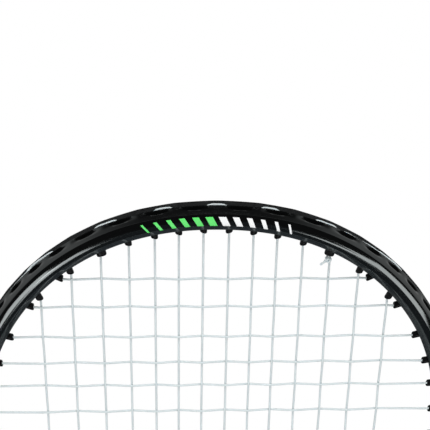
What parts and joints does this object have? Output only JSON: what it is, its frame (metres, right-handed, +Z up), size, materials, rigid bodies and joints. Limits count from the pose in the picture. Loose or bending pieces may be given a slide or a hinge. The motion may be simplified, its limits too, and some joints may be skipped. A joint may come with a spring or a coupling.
{
  "type": "crossminton racket",
  "caption": "Strung racket with an oval grooved hoop, scalloped string channel, grommet strips, woven strings, slim shaft and wrapped octagonal handle.",
  "frame": {"origin": "middle of the butt cap's flat bottom face, with the racket upright", "axes": "+Z up the handle and shaft to the tip of the head, +X across the head, +Y through the string bed to the back"},
  "size_m": [0.2124, 0.0302, 0.5961],
  "materials": {
    "frame_gloss": "gloss black lacquer over a moulded hoop",
    "grommet_plastic": "satin black moulded plastic",
    "string": "pale grey-white synthetic string, slight sheen",
    "moulding": "satin black moulding",
    "shaft_lacquer": "gloss black lacquer",
    "handle_core": "light plain wood",
    "grip": "soft matt synthetic grip tape",
    "finishing_tape": "green elastic tape"
  },
  "bodies": {
    "root": {"head_frame": "frame_gloss", "crown_grommet_strip": "grommet_plastic", "left_shoulder_grommet_strip": "grommet_plastic", "right_shoulder_grommet_strip": "grommet_plastic", "left_upper_side_grommet_strip": "grommet_plastic", "right_upper_side_grommet_strip": "grommet_plastic", "left_lower_side_grommet_strip": "grommet_plastic", "right_lower_side_grommet_strip": "grommet_plastic", "left_corner_grommet_strip": "grommet_plastic", "right_corner_grommet_strip": "grommet_plastic", "left_lower_grommet_pair": "grommet_plastic", "right_lower_grommet_pair": "grommet_plastic", "left_throat_grommet_strip": "grommet_plastic", "right_throat_grommet_strip": "grommet_plastic", "upper_left_tie_off_grommet": "grommet_plastic", "upper_right_tie_off_grommet": "grommet_plastic", "lower_left_tie_off_grommet": "grommet_plastic", "lower_right_tie_off_grommet": "grommet_plastic", "throat_left_tie_off_grommet": "grommet_plastic", "throat_right_tie_off_grommet": "grommet_plastic", "main_string": "string", "cross_string": "string", "throat_joint": "moulding", "shaft": "shaft_lacquer", "handle_cone": "moulding", "handle_core": "handle_core", "butt_cap": "moulding", "grip_wrap": "grip", "finishing_tape": "finishing_tape"}
  },
  "joints": []
}
